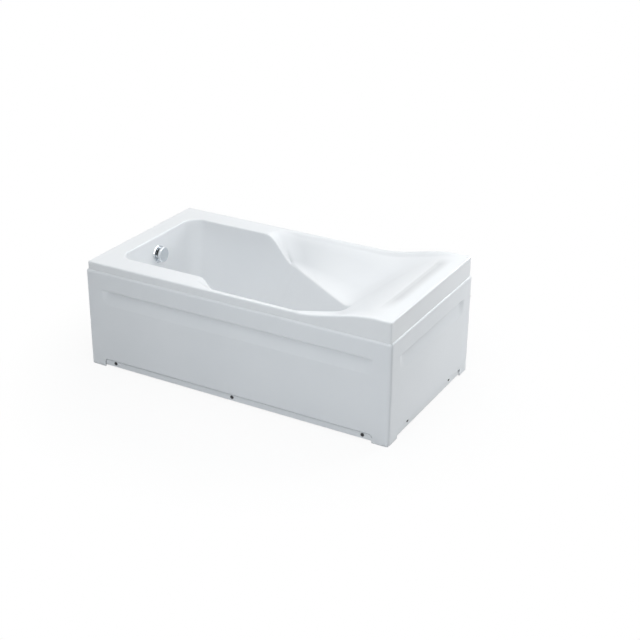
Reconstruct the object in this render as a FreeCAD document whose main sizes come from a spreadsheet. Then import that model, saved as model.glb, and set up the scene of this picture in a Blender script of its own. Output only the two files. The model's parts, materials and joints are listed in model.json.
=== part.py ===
"""Skirted acrylic bathtub: shell, skirts, steel cradle, levelling feet, overflow and pop-up waste.

Frame: origin on the floor under the middle, +X to the head end, -Y to the front skirt, +Z up, millimetres.
"""
import FreeCAD, Part
import math
import os
import re
import Sketcher

Vector = FreeCAD.Vector
Rotation = FreeCAD.Rotation
doc = FreeCAD.newDocument("skirted_bathtub")

# Driving dimensions: name, value in millimetres or degrees, meaning
SIZES = [
    ("tub_length", 1500, "length over the skirts"),
    ("tub_width", 800, "width over the skirts"),
    ("rim_height", 500, "top of the rim over the foot half"),
    ("head_rise", 56, "how much higher the head deck is"),
    ("rise_inset", 432, "start of the rim's rise, from the head end"),
    ("rise_run", 358, "length of the rise"),
    ("shell_wall", 6, "wall of the shell"),
    ("rim_lip", 70, "height of the turned-down flange at the foot half"),
    ("rim_corner", 16, "plan radius of the rim's corners"),
    ("rim_bevel", 5, "bevel of the rim's outer edge"),
    ("foot_deck", 92, "rim width at the foot end"),
    ("side_deck", 111, "rim width along the sides of the well"),
    ("floor_height", 118, "inside floor of the well"),
    ("foot_draft", 4, "lean of the foot wall"),
    ("side_draft", 7, "lean of the side walls"),
    ("nose_inset", 365, "where the head walls would meet at armrest height, from the head end"),
    ("nose_angle", 30, "half angle between the head walls"),
    ("nose_slope", 58, "lean of the line where the head walls meet"),
    ("nose_radius", 60, "rounding where the head walls meet"),
    ("corner_radius", 70, "rounding of the well's foot corners"),
    ("shoulder_radius", 160, "rounding where side walls turn into head walls"),
    ("floor_radius", 45, "rounding round the well's floor"),
    ("well_bevel", 10, "bevel of the well's upper edge"),
    ("floor_bevel", 26, "bevel under the well's floor edge"),
    ("arm_drop", 122, "armrest below the rim"),
    ("step_inset", 965, "start of the step down to the armrest, from the head end"),
    ("step_run", 120, "length of the step"),
    ("arm_inset", 54.7, "armrest level at the step, in from the rim's edge"),
    ("arm_band", 96, "armrest beside the nose at the foot of the backrest"),
    ("roll_inset", 22.7, "dish's upper edge, in from the rim's edge"),
    ("roll_round", 18, "rounding of the dish's upper edge"),
    ("dish_corner", 60, "rounding between the dish's slopes"),
    ("dish_round", 50, "rounding round the armrest level"),
    ("back_inset", 410, "foot of the backrest, from the head end"),
    ("back_run", 260, "length of the backrest in plan"),
    ("trough_side", 124.7, "trough's ends from the sides of the rim"),
    ("trough_width", 56, "trough across"),
    ("trough_depth", 6, "trough down"),
    ("trough_inset", 83, "trough middle from the head edge of the rim"),
    ("skirt_drop", 37, "top ledge of the skirts below the rim"),
    ("skirt_wall", 5, "wall of the skirts"),
    ("bond_gap", 0.3, "glue line between skirt and rim flange"),
    ("seam_gap", 0.6, "seam between the two skirts"),
    ("corner_return", 5, "how far the front skirt turns round the head corner, past its wall"),
    ("wall_return", 40, "skirt's return at a wall side"),
    ("skirt_corner", 6, "rounding of the skirts' upright edges"),
    ("skirt_edge", 2, "rounding of the skirts' upper edge"),
    ("groove_drop", 103, "upper edge of the skirt groove below the ledge"),
    ("groove_span", 62, "height over which the groove fades out"),
    ("groove_depth", 6, "groove at its upper edge"),
    ("groove_inset", 78, "groove end from the skirt's end"),
    ("foot_width", 75, "width of a skirt's corner foot"),
    ("toe_height", 39, "top of the toe recess"),
    ("toe_clear", 8, "toe strip above the floor"),
    ("toe_recess", 12, "toe strip behind the skirt face"),
    ("toe_corner", 14, "rounding of the toe recess"),
    ("tube_size", 30, "cradle rail section"),
    ("tube_wall", 1.5, "cradle tube wall"),
    ("post_size", 25, "post section"),
    ("rail_inset", 165, "inner face of the long rails, from the skirt's face"),
    ("outrigger_reach", 95, "outrigger beyond the long rail"),
    ("foot_inset_x", 60, "foot posts from the foot end"),
    ("middle_lead", 45, "middle posts ahead of the step"),
    ("head_inset_x", 50, "head posts from the head end"),
    ("drain_cross_inset", 160, "cross rail beside the waste, from the foot end"),
    ("seat_cross_inset", 620, "cross rail under the seat, from the head end"),
    ("post_offset", 20, "post axis in from the outrigger's end"),
    ("pad_size", 46, "post pad"),
    ("pad_thickness", 3, "post pad thickness"),
    ("seat_gap", 0.3, "clearance under moulded faces"),
    ("toe_rail_short", 50, "front toe rail short of the skirt's ends"),
    ("end_rail_short", 250, "end toe rail shorter than its skirt"),
    ("angle_size", 38, "toe rail's level leg"),
    ("angle_wall", 3, "toe rail thickness"),
    ("angle_clear", 12, "toe rail above the floor"),
    ("board_thickness", 14.7, "base board"),
    ("board_inset", 150, "base board from the foot end"),
    ("board_short", 605, "base board from the head end"),
    ("board_overlap", 27, "base board over the long rails"),
    ("board_hole", 60, "hole in the base board round the waste"),
    ("stud_radius", 6, "levelling stud"),
    ("stud_top", 92, "top of the stud"),
    ("stud_play", 0.05, "radial play of the stud in its nut"),
    ("foot_inset", 60, "stud axis in from the outrigger's end"),
    ("pad_radius", 25, "foot pad"),
    ("pad_height", 16, "foot pad height"),
    ("pad_brim", 6, "foot pad edge height"),
    ("pad_neck", 14, "foot pad neck radius"),
    ("shank_radius", 8, "spanner shank over its corners"),
    ("nut_radius", 11, "nut over its corners"),
    ("nut_height", 10, "nut height"),
    ("drain_inset", 250, "waste from the foot end"),
    ("drain_hole", 25, "waste hole radius"),
    ("drain_flange_radius", 36, "drain flange"),
    ("drain_flange_height", 2.5, "drain flange above the floor"),
    ("drain_bore", 20, "drain flange bore"),
    ("drain_tube_wall", 3.5, "drain flange tube wall"),
    ("drain_tube_length", 26, "drain flange tube below the floor"),
    ("gasket_height", 4, "drain gasket"),
    ("gasket_edge", 41, "gasket radius"),
    ("waste_flange", 43, "waste body flange radius"),
    ("waste_flange_height", 6, "waste body flange"),
    ("waste_radius", 32, "waste body"),
    ("waste_wall", 4, "waste body wall"),
    ("pipe_clear", 7, "overflow pipe below the cross rail"),
    ("waste_sump", 26, "underside of the waste body below the pipe axes"),
    ("outlet_radius", 20, "drain outlet"),
    ("outlet_length", 70, "drain outlet beyond the waste body"),
    ("outlet_shoulder", 2, "shoulder behind the outlet, beyond the waste body"),
    ("pipe_radius", 18, "overflow pipe"),
    ("pipe_wall", 2.5, "overflow pipe wall"),
    ("pipe_play", 0.3, "play of the pipe in its sockets"),
    ("socket_wall", 3.5, "pipe socket wall"),
    ("socket_depth", 30, "pipe socket depth"),
    ("plug_radius", 31, "drain plug"),
    ("plug_height", 5, "drain plug thickness"),
    ("plug_crown", 2, "bevel of the drain plug"),
    ("plug_stem", 4, "plug stem radius"),
    ("plug_stem_length", 50, "plug stem below the plug"),
    ("stem_play", 0.08, "radial play of the stem in its guide"),
    ("guide_height", 5, "stem guide height"),
    ("spoke_width", 13, "guide spokes"),
    ("overflow_drop", 86, "overflow axis below the rim"),
    ("overflow_hole", 30, "overflow hole radius"),
    ("trim_radius", 42, "overflow trim ring"),
    ("trim_bore", 26, "trim ring bore"),
    ("trim_height", 5, "trim ring"),
    ("knob_radius", 35, "control knob"),
    ("knob_wall", 3, "knob skirt wall"),
    ("knob_face", 8, "knob face thickness"),
    ("knob_reach", 31, "knob face from the wall"),
    ("knob_gap", 0.5, "knob skirt clear of the trim ring"),
    ("knob_post", 9, "width of the knob's skirt posts"),
    ("window_margin", 3, "knob window short of the knob's face"),
    ("spindle_radius", 5, "knob spindle"),
    ("spindle_play", 0.05, "radial play of the spindle"),
    ("cup_radius", 34, "overflow body"),
    ("cup_wall", 4, "overflow body wall"),
    ("cup_depth", 44, "overflow body depth behind its flange"),
    ("cup_flange", 4, "overflow body flange"),
    ("boss_radius", 9, "spindle boss"),
    ("boss_length", 14, "spindle boss length"),
    ("overflow_gasket_height", 3, "overflow gasket"),
    ("spigot_drop", 62, "overflow spigot's lower end below its axis"),
]

# Sizes and places that follow from the driving dimensions
DERIVED = {
    "half_length": "tub_length / 2",
    "half_width": "tub_width / 2",
    "rim_inset": "skirt_wall + bond_gap",
    "rim_x": "half_length - rim_inset",
    "rim_y": "half_width - rim_inset",
    "lip_bottom": "rim_height - rim_lip",
    "arm_height": "rim_height - arm_drop",
    "rise_start": "half_length - rise_inset",
    "rise_end": "rise_start + rise_run",
    "nose_tip": "half_length - nose_inset",
    "step_start": "half_length - step_inset",
    "step_end": "step_start + step_run",
    "back_start": "half_length - back_inset",
    "back_end": "back_start + back_run",
    "arm_half_width": "rim_y - arm_inset",
    "arm_least": "(nose_tip - back_start) * tan(nose_angle) + arm_band",
    "roll_half_width": "rim_y - roll_inset",
    "rail_half_gap": "half_width - rail_inset",
    "foot_station": "foot_inset_x - half_length",
    "middle_station": "step_start - middle_lead",
    "head_station": "half_length - head_inset_x",
    "drain_cross": "drain_cross_inset - half_length",
    "seat_cross": "half_length - seat_cross_inset",
    "board_start": "board_inset - half_length",
    "board_end": "half_length - board_short",
    "drain_x": "drain_inset - half_length",
    "middle_cross": "(drain_x + seat_cross) / 2",
    "trough_length": "2 * (rim_y - trough_side)",
    "skirt_height": "rim_height - skirt_drop",
    "groove_height": "skirt_height - groove_drop",
    "overflow_height": "rim_height - overflow_drop",
    "head_height": "rim_height + head_rise",
    "floor_under": "floor_height - shell_wall",
    "rail_top": "floor_under - seat_gap - board_thickness",
    "rail_height": "rail_top - tube_size",
    "rail_outer": "rail_half_gap + tube_size",
    "rail_axis": "rail_half_gap + tube_size / 2",
    "outrigger_end": "rail_outer + outrigger_reach",
    "post_y": "outrigger_end - post_offset",
    "foot_y": "outrigger_end - foot_inset",
    "strip_front": "half_width - toe_recess",
    "strip_back": "strip_front - skirt_wall",
    "end_strip_front": "half_length - toe_recess",
    "end_strip_back": "end_strip_front - skirt_wall",
    "front_corner": "half_width - skirt_wall - corner_return",
    "end_skirt_front": "front_corner - seam_gap",
    "end_skirt_half": "(end_skirt_front + half_width) / 2",
    "end_skirt_middle": "(half_width - end_skirt_front) / 2",
    "rim_under": "rim_height - shell_wall - seat_gap",
    "nut_bottom": "rail_height - nut_height",
    "jam_top": "nut_bottom - seat_gap",
    "jam_bottom": "jam_top - nut_height",
    "gasket_bottom": "floor_under - gasket_height",
    "waste_top": "gasket_bottom",
    "waste_axis": "rail_height - pipe_clear - pipe_radius",
    "waste_bottom": "waste_axis - waste_sump",
    "flange_top": "floor_height + drain_flange_height",
    "plug_bottom": "flange_top + seat_gap",
    "drain_tube": "drain_bore + drain_tube_wall",
    "socket_bore": "pipe_radius + pipe_play",
    "socket_outer": "socket_bore + socket_wall",
    "wall_x": "foot_deck - rim_x + (rim_height - overflow_height) * tan(foot_draft)",
    "cup_front": "shell_wall + overflow_gasket_height",
    "cup_back": "cup_front + cup_flange + cup_depth",
    "spigot_x": "wall_x - (cup_back - socket_outer) * cos(foot_draft)",
    "spigot_end": "overflow_height - spigot_drop",
}

WORD = re.compile(r"[a-z][a-z_]*")
ALIASES = {alias for alias, value, note in SIZES}

sheet = doc.addObject("Spreadsheet::Sheet", "Sizes")
for row, (alias, value, note) in enumerate(SIZES, 1):
    sheet.set(f"A{row}", alias)
    sheet.set(f"B{row}", str(value))
    sheet.setAlias(f"B{row}", alias)
    sheet.set(f"C{row}", note)
doc.recompute()


def full(text):
    """Spells a formula out in the sheet's own cells."""
    def spell(found):
        word = found.group(0)
        if word in DERIVED:
            return f"({full(DERIVED[word])})"
        return f"Sizes.{word}" if word in ALIASES else word
    return WORD.sub(spell, str(text))


def size(text):
    """The value of a formula, as a number."""
    return float(sheet.evalExpression(full(text)))


def bind(item, **formulas):
    for name, formula in formulas.items():
        item.setExpression(name, full(formula))


def place(item, x=0, y=0, z=0):
    """Ties an object's place to formulas."""
    for axis, formula in zip("xyz", (x, y, z)):
        item.setExpression(f"Placement.Base.{axis}", full(formula))


def new_body(label):
    body = doc.addObject("PartDesign::Body", label)
    body.Label = label
    return body


def new_sketch(body, role, offset=None):
    """A sketch on one of the body's own planes, lifted by a formula."""
    sketch = body.newObject("Sketcher::SketchObject", f"{body.Name}_sketch")
    support = next(item for item in body.Origin.OriginFeatures if item.Role == role)
    sketch.AttachmentSupport = [(support, "")]
    sketch.MapMode = "FlatFace"
    if offset is not None:
        sketch.setExpression("AttachmentOffset.Base.z", full(offset))
    return sketch


def tie(sketch, kind, element, point, formula):
    """Ties a sketch point's distance from the origin, or a circle's radius, to a formula."""
    ends = (element,) if kind == "Radius" else (-1, 1, element, point)
    index = sketch.addConstraint(Sketcher.Constraint(kind, *ends, size(formula)))
    sketch.setExpression(f"Constraints[{index}]", full(formula))


def outline(sketch, corners):
    """A closed run of lines through corners given as formulas."""
    spots = [Vector(size(x), size(y), 0) for x, y in corners]
    first = sketch.GeometryCount
    count = len(spots)
    for index in range(count):
        sketch.addGeometry(Part.LineSegment(spots[index], spots[(index + 1) % count]))
    for index, (x, y) in enumerate(corners):
        following = first + (index + 1) % count
        sketch.addConstraint(Sketcher.Constraint("Coincident", first + index, 2, following, 1))
        tie(sketch, "DistanceX", first + index, 1, x)
        tie(sketch, "DistanceY", first + index, 1, y)


def rectangle(sketch, x_low, x_high, y_low, y_high):
    outline(sketch, [(x_low, y_low), (x_high, y_low), (x_high, y_high), (x_low, y_high)])


def circle(sketch, x, y, radius):
    index = sketch.addGeometry(Part.Circle(Vector(size(x), size(y), 0), Vector(0, 0, 1), size(radius)))
    tie(sketch, "DistanceX", index, 3, x)
    tie(sketch, "DistanceY", index, 3, y)
    tie(sketch, "Radius", index, 3, radius)


def add_feature(body, kind, sketch, **formulas):
    feature = body.newObject(f"PartDesign::{kind}", f"{body.Name}_{kind}")
    feature.Profile = sketch
    bind(feature, **formulas)
    sketch.Visibility = False
    return feature


def pad(body, sketch, length, midplane=False, backwards=False):
    feature = add_feature(body, "Pad", sketch, Length=length)
    feature.Midplane = midplane
    feature.Reversed = backwards
    return feature


def cut_through(body, sketch):
    """Cuts a sketch's outline through the whole body, both ways, and checks that it did."""
    doc.recompute()
    before = body.Shape.Volume
    feature = body.newObject("PartDesign::Pocket", f"{body.Name}_Pocket")
    feature.Profile = sketch
    feature.Type = "ThroughAll"
    feature.Midplane = True
    doc.recompute()
    if body.Shape.Volume >= before:
        raise RuntimeError(f"a cut in {body.Label} removed nothing")
    return feature


def turned(label, corners):
    """A body of revolution about its own Z axis, from radius and height formulas."""
    body = new_body(label)
    sketch = new_sketch(body, "XZ_Plane")
    outline(sketch, corners)
    feature = add_feature(body, "Revolution", sketch)
    feature.ReferenceAxis = (sketch, ["V_Axis"])
    feature.Angle = 360
    return body


def ring(label, inner, outer, bottom, top):
    return turned(label, [(inner, bottom), (outer, bottom), (outer, top), (inner, top)])


def tube(label, role, length, section):
    """A square tube standing on its sketch plane, centred on the plane's origin."""
    body = new_body(label)
    sketch = new_sketch(body, role)
    half = f"{section} / 2"
    rectangle(sketch, f"-{half}", half, f"-{half}", half)
    hollow = f"({half} - tube_wall)"
    rectangle(sketch, f"-{hollow}", hollow, f"-{hollow}", hollow)
    pad(body, sketch, length)
    return body


def cylinder(label, radius, height):
    item = doc.addObject("Part::Cylinder", label)
    bind(item, Radius=radius, Height=height)
    return item


def combine(kind, label, base, tool):
    item = doc.addObject(f"Part::{kind}", label)
    item.Base = base
    item.Tool = tool
    item.Label = label
    return item


def group(label, items):
    item = doc.addObject("Part::Compound", label)
    item.Links = items
    item.Label = label
    return item


# The acrylic shell
def rim_height_at(x):
    """Top of the rim: level, then a smooth rise to the head deck."""
    start, end = size("rise_start"), size("rise_end")
    share = min(1.0, max(0.0, (x - start) / (end - start)))
    return size("rim_height") + size("head_rise") * share * share * (3 - 2 * share)


def deck_block(drop):
    """Everything under the rim's profile, lowered by a wall, across the whole width."""
    reach, half_y = size("half_length") + 20, size("half_width") + 20
    start, end = size("rise_start"), size("rise_end")
    low, high = size("rim_height") - drop, size("head_height") - drop
    third = (end - start) / 3
    rise = Part.BezierCurve()
    rise.setPoles([Vector(start, -half_y, low), Vector(start + third, -half_y, low),
                   Vector(end - third, -half_y, high), Vector(end, -half_y, high)])
    corners = [Vector(end, -half_y, high), Vector(reach, -half_y, high), Vector(reach, -half_y, -drop),
               Vector(-reach, -half_y, -drop), Vector(-reach, -half_y, low), Vector(start, -half_y, low)]
    lines = [Part.makeLine(first, second) for first, second in zip(corners, corners[1:])]
    profile = Part.Face(Part.Wire([rise.toShape()] + lines))
    return profile.extrude(Vector(0, 2 * half_y, 0))


def dish_side(hand, grow):
    """Lower and upper edge of one side of the dish; the upper one stands clear of the rim."""
    count = 9
    low, high = [], []
    for index in range(count):
        share = index / (count - 1)
        x_low = size("step_end") + (size("back_start") - size("step_end")) * share
        y_low = size("arm_half_width") + (size("arm_least") - size("arm_half_width")) * share
        shift = (2 * share - 1) * grow
        foot = Vector(x_low + shift / 2, hand * (y_low + grow / 2), size("arm_height") - grow)
        x_top = size("step_start") + (size("back_end") - size("step_start")) * share
        top = Vector(x_top + 1.6 * shift, hand * (size("roll_half_width") + 1.6 * grow), rim_height_at(x_top))
        low.append(foot)
        high.append(foot + (top - foot) * 1.3)
    edges = []
    for points in (low, high):
        curve = Part.BSplineCurve()
        curve.interpolate(Points=points, Parameters=[index / (count - 1) for index in range(count)])
        edges.append(curve.toShape())
    return edges, low, high


def dish_solid(grow):
    """The dish over the armrests: level floor, step, twisted sides and backrest, open above the rim."""
    (low_front, high_front), front_feet, front_tops = dish_side(-1, grow)
    (low_back, high_back), back_feet, back_tops = dish_side(1, grow)
    faces = [Part.makeRuledSurface(low_front, high_front), Part.makeRuledSurface(low_back, high_back)]
    faces.append(Part.makeRuledSurface(high_front, high_back))
    for end in (0, -1):
        corners = [front_feet[end], back_feet[end], back_tops[end], front_tops[end]]
        faces.append(Part.Face(Part.makePolygon(corners + corners[:1])))
    corners = [front_feet[0], front_feet[-1], back_feet[-1], back_feet[0]]
    faces.append(Part.Face(Part.makePolygon(corners + corners[:1])))
    shell = Part.makeShell(faces)
    shell.sewShape()
    solid = Part.makeSolid(shell)
    if solid.Volume < 0:
        solid = Part.makeSolid(shell.reversed())
    if grow:
        return solid
    for spot in (front_feet[0], back_feet[0], front_feet[-1], back_feet[-1]):
        solid = solid.makeFillet(size("dish_corner"), [upright_edge(solid, spot)])
    floor_edges = [edge for edge in solid.Edges if edge.BoundBox.ZMax < size("arm_height") + 0.01]
    return solid.makeFillet(size("dish_round"), floor_edges)


def top_edges(block, wanted):
    """The edges of a block's top whose places pass a test."""
    edges = []
    for edge in block.Edges:
        spots = edge.discretize(5)
        on_top = all(abs(spot.z - rim_height_at(spot.x)) < 1 for spot in spots)
        if on_top and all(wanted(spot) for spot in spots):
            edges.append(edge)
    return edges


def moulded_block():
    """The outside of the moulding above the floor: rim outline, dish, rolled and rounded edges."""
    high = size("head_height") + 100
    half_x, half_y, corner = size("rim_x"), size("rim_y"), size("rim_corner")
    block = deck_block(0).cut(dish_solid(0))
    roll = size("roll_half_width") + size("rim_lip") / 10
    dish_edges = top_edges(block, lambda spot: abs(spot.y) < roll and abs(spot.x) < half_x)
    block = block.makeFillet(size("roll_round"), dish_edges)
    return block.common(rounded_prism(half_x, half_y, corner, 0, high))


def bevelled(block):
    """A block with its rim's outer edge bevelled."""
    half_x, half_y, corner = size("rim_x"), size("rim_y"), size("rim_corner")
    edges = top_edges(block, lambda spot: abs(spot.x) > half_x - corner - 0.1 or abs(spot.y) > half_y - 0.1)
    return block.makeChamfer(size("rim_bevel"), edges)


def rounded_prism(half_x, half_y, radius, bottom, top):
    block = Part.makeBox(2 * half_x, 2 * half_y, top - bottom, Vector(-half_x, -half_y, bottom))
    upright = [edge for edge in block.Edges if abs(edge.Vertexes[0].Z - edge.Vertexes[1].Z) > 1]
    return block.makeFillet(radius, upright)


def well_outline(z, grow):
    """Plan of the well at a height: five corners, grown outward by a wall."""
    rim = size("rim_height")
    lean_foot = math.tan(math.radians(size("foot_draft")))
    lean_side = math.tan(math.radians(size("side_draft")))
    half_angle = math.radians(size("nose_angle"))
    foot = size("foot_deck - rim_x") + (rim - z) * lean_foot - grow
    side = size("rim_y - side_deck") - (rim - z) * lean_side + grow
    tip = size("nose_tip") - (size("arm_height") - z) / math.tan(math.radians(size("nose_slope")))
    tip += grow / math.sin(half_angle)
    shoulder = tip - side / math.tan(half_angle)
    return [(foot, -side), (shoulder, -side), (tip, 0), (shoulder, side), (foot, side)]


def well_solid(bottom, top, grow):
    """The well's space, or with its wall, between two heights, with its corners rounded."""
    low, high = [[Vector(x, y, z) for x, y in well_outline(z, grow)] for z in (bottom, top)]
    loops = [low[::-1], high]
    for index in range(len(low)):
        following = (index + 1) % len(low)
        loops.append([low[index], low[following], high[following], high[index]])
    faces = [Part.Face(Part.makePolygon(loop + loop[:1])) for loop in loops]
    shell = Part.makeShell(faces)
    shell.sewShape()
    solid = Part.makeSolid(shell)
    radii = {"foot": size("corner_radius"), "shoulder": size("shoulder_radius"), "nose": size("nose_radius")}
    corner_names = ["foot", "shoulder", "nose", "shoulder", "foot"]
    for (x, y), name in zip(well_outline(bottom, grow), corner_names):
        spot = Vector(x, y, bottom)
        solid = solid.makeFillet(radii[name] + grow, [upright_edge(solid, spot)])
    floor_edges = [edge for edge in solid.Edges if edge.BoundBox.ZMax < bottom + 0.01]
    if grow:
        return solid.makeChamfer(size("floor_bevel"), floor_edges)
    return solid.makeFillet(size("floor_radius"), floor_edges)


def upright_edge(solid, spot):
    """The edge that rises from a corner of a solid's foot."""
    for edge in solid.Edges:
        ends = [vertex.Point for vertex in edge.Vertexes]
        rises = abs(ends[0].z - ends[-1].z) > 1
        if rises and min(end.distanceToPoint(spot) for end in ends) < 0.01:
            return edge
    raise RuntimeError("no upright edge at a corner of the well")


def slot_prism(half_length, half_width, middle_x, bottom, top):
    """A round-ended bar across the head deck."""
    straight = half_length - half_width
    block = Part.makeBox(2 * half_width, 2 * straight, top - bottom,
                         Vector(middle_x - half_width, -straight, bottom))
    for side in (-1, 1):
        spot = Vector(middle_x, side * straight, bottom)
        block = block.fuse(Part.makeCylinder(half_width, top - bottom, spot))
    return block.removeSplitter()


def wall_turn():
    """Turns a piece's Z axis to the foot wall's normal, into the tub."""
    return Rotation(Vector(0, 1, 0), 90 - size("foot_draft"))


def wall_spot():
    return Vector(size("wall_x"), 0, size("overflow_height"))


def mouth_edges(solid, well, block):
    """The well's upper edge, where its walls meet the rim, the step and the armrest."""
    edges = []
    for edge in solid.Edges:
        spots = [Part.Vertex(spot) for spot in edge.discretize(3)]
        if min(spot.Z for spot in spots) < size("arm_height") - 1:
            continue
        faces = [shape.Shells[0] for shape in (well, block)]
        if all(spot.distToShape(face)[0] < 0.05 for spot in spots for face in faces):
            edges.append(edge)
    return edges


def tub_shell():
    wall, high = size("shell_wall"), size("head_height") + 100
    half_x, half_y = size("rim_x") - wall, size("rim_y") - wall
    block = moulded_block()
    inner_corner = max(size("rim_corner") - wall, 1)
    hollow = deck_block(wall).cut(dish_solid(wall)).common(
        rounded_prism(half_x, half_y, inner_corner, -wall, high))
    lip_bottom = size("lip_bottom")
    below_lip = Part.makeBox(4 * half_x, 4 * half_y, lip_bottom, Vector(-2 * half_x, -2 * half_y, 0))
    below_lip = below_lip.cut(rounded_prism(half_x - 1, half_y - 1, inner_corner, 0, lip_bottom))
    skin = bevelled(block).cut(hollow).cut(below_lip)
    floor, mouth = size("floor_height"), size("rim_height") + 40
    trough = [size("trough_length") / 2, size("trough_width") / 2, size("rim_x - trough_inset")]
    bed_top, deck_middle = size("head_height - trough_depth"), size("head_height") - wall / 2
    bed = slot_prism(trough[0] + wall, trough[1] + wall, trough[2], bed_top - wall, deck_middle)
    pan = well_solid(floor - wall, mouth, wall)
    well = well_solid(floor, mouth, 0)
    solid = skin.fuse([pan.common(block), bed]).cut(well)
    solid = solid.makeChamfer(size("well_bevel"), mouth_edges(solid, well, block))
    solid = solid.cut(slot_prism(*trough, bed_top, high))
    drain_spot = Vector(size("drain_x"), 0, floor - 2 * wall)
    solid = solid.cut(Part.makeCylinder(size("drain_hole"), 3 * wall, drain_spot))
    bore = Part.makeCylinder(size("overflow_hole"), 6 * wall, Vector(0, 0, -3 * wall))
    bore.Placement = FreeCAD.Placement(wall_spot(), wall_turn())
    solid = solid.cut(bore).removeSplitter()
    if len(solid.Solids) != 1:
        raise RuntimeError("the shell is not one piece")
    item = doc.addObject("Part::Feature", "tub_shell")
    item.Label = "tub_shell"
    item.Shape = solid.Solids[0]
    return item


# The skirts, each one moulding with a groove, a toe recess and corner feet
def round_edges(body, radius, chosen):
    """Rounds the edges of a body whose every place passes a test."""
    doc.recompute()
    base = body.Tip
    names = []
    for index, edge in enumerate(body.Shape.Edges, 1):
        if all(chosen(spot) for spot in edge.discretize(3)):
            names.append(f"Edge{index}")
    feature = body.newObject("PartDesign::Fillet", f"{body.Name}_Fillet")
    feature.Base = (base, names)
    bind(feature, Radius=radius)


def near(value, formula):
    return abs(value - size(formula)) < 0.01


def skirt(label, half, face, low_return, high_return):
    """A skirt along X with its outer face towards -Y, and a return at one end or both."""
    body = new_body(label)

    def slab(x_low, x_high, z_low, z_high, back, thickness):
        sketch = new_sketch(body, "XZ_Plane", back)
        rectangle(sketch, x_low, x_high, z_low, z_high)
        pad(body, sketch, thickness)

    inner = f"({face} - skirt_wall)"
    opening = f"({half} - foot_width)"
    panel = new_sketch(body, "XZ_Plane", inner)
    outline(panel, [(f"-{half}", "0"), (f"-{opening}", "0"), (f"-{opening}", "toe_height"),
                    (opening, "toe_height"), (opening, "0"), (half, "0"),
                    (half, "skirt_height"), (f"-{half}", "skirt_height")])
    pad(body, panel, "skirt_wall")

    recess_back = f"({inner} - toe_recess)"
    web = f"({opening} + skirt_wall)"
    slab(f"-{web}", web, "toe_height", "toe_height + skirt_wall", recess_back, "toe_recess")
    slab(f"-{web}", web, "toe_clear", "toe_height", recess_back, "skirt_wall")
    slab(f"-{web}", f"-{opening}", "toe_clear", "toe_height", recess_back, "toe_recess")
    slab(opening, web, "toe_clear", "toe_height", recess_back, "toe_recess")

    for end, depth in (("low", low_return), ("high", high_return)):
        if depth is None:
            continue
        sides = (f"-{half}", f"skirt_wall - {half}") if end == "low" else (f"{half} - skirt_wall", half)
        slab(*sides, "0", "skirt_height", f"({inner} - {depth})", depth)

    groove = f"({half} - groove_inset)"
    slab(f"-({groove} + skirt_wall)", f"({groove} + skirt_wall)", "groove_height - groove_span",
         "groove_height + skirt_wall", f"({inner} - groove_depth)", "groove_depth")
    wedge = new_sketch(body, "YZ_Plane")
    outline(wedge, [(f"-{face}", "groove_height"), (f"groove_depth - {face}", "groove_height"),
                    (f"-{face}", "groove_height - groove_span")])
    cut = add_feature(body, "Pocket", wedge, Length=f"2 * {groove}")
    cut.Midplane = True

    round_edges(body, "toe_corner", lambda spot: near(abs(spot.x), opening) and near(spot.z, "toe_height"))
    ends = [end for end, depth in ((-1, low_return), (1, high_return)) if depth is not None]
    round_edges(body, "skirt_corner", lambda spot: near(spot.y, f"-{face}") and any(
        near(end * spot.x, half) for end in ends))
    round_edges(body, "skirt_edge", lambda spot: near(spot.y, f"-{face}") and near(spot.z, "skirt_height"))
    return body


front_skirt = skirt("front_skirt", "half_length", "half_width", "wall_return", "corner_return")
end_skirt = skirt("end_skirt", "end_skirt_half", "half_length", None, "wall_return")
end_skirt.Placement.Rotation = Rotation(Vector(0, 0, 1), 90)
place(end_skirt, y="end_skirt_middle")


# Angle rails behind the toe strips
def angle_rail(label, back, length):
    """An L section along X behind a toe strip, its level leg on top."""
    body = new_body(label)
    sketch = new_sketch(body, "YZ_Plane")
    outline(sketch, [(f"-{back}", "angle_clear"), (f"angle_wall - {back}", "angle_clear"),
                     (f"angle_wall - {back}", "rail_height - angle_wall"),
                     (f"angle_size - {back}", "rail_height - angle_wall"),
                     (f"angle_size - {back}", "rail_height"), (f"-{back}", "rail_height")])
    pad(body, sketch, length, midplane=True)
    return body


to_head = Rotation(Vector(0, 1, 0), 90)
front_toe_rail = angle_rail("front_toe_rail", "strip_back", "2 * (half_length - toe_rail_short)")
end_toe_rail = angle_rail("end_toe_rail", "end_strip_back", "2 * end_skirt_half - end_rail_short")
end_toe_rail.Placement.Rotation = Rotation(Vector(0, 0, 1), 90)
place(end_toe_rail, y="end_skirt_middle")

# The steel cradle: rails, outriggers, posts and their pads
STATIONS = ["foot", "middle", "head"]
SIDES = {"front": -1, "back": 1}
CROSS_RAILS = {"drain": "drain_cross", "middle": "middle_cross", "seat": "seat_cross", "head": "head_station"}
POST_TOPS = {"foot": "rim_under", "middle": "rim_under", "head": "(rim_under + head_rise)"}
cradle = []
for side, hand in SIDES.items():
    rail = tube(f"long_rail_{side}", "YZ_Plane", "head_station - foot_station + tube_size", "tube_size")
    place(rail, "foot_station - tube_size / 2", f"{hand} * rail_axis", "rail_height + tube_size / 2")
    cradle.append(rail)
for name, spot in CROSS_RAILS.items():
    rail = tube(f"cross_rail_{name}", "XZ_Plane", "2 * rail_half_gap", "tube_size")
    place(rail, spot, "rail_half_gap", "rail_height + tube_size / 2")
    cradle.append(rail)

arms, pads, nuts, feet = [], [], [], []


def nut(label, bottom):
    """A hexagon nut with play round the levelling stud."""
    body = new_body(label)
    sketch = new_sketch(body, "XY_Plane", bottom)
    polygon(sketch, 6, "nut_radius")
    circle(sketch, "0", "0", "stud_radius + stud_play")
    pad(body, sketch, "nut_height")
    return body


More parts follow.
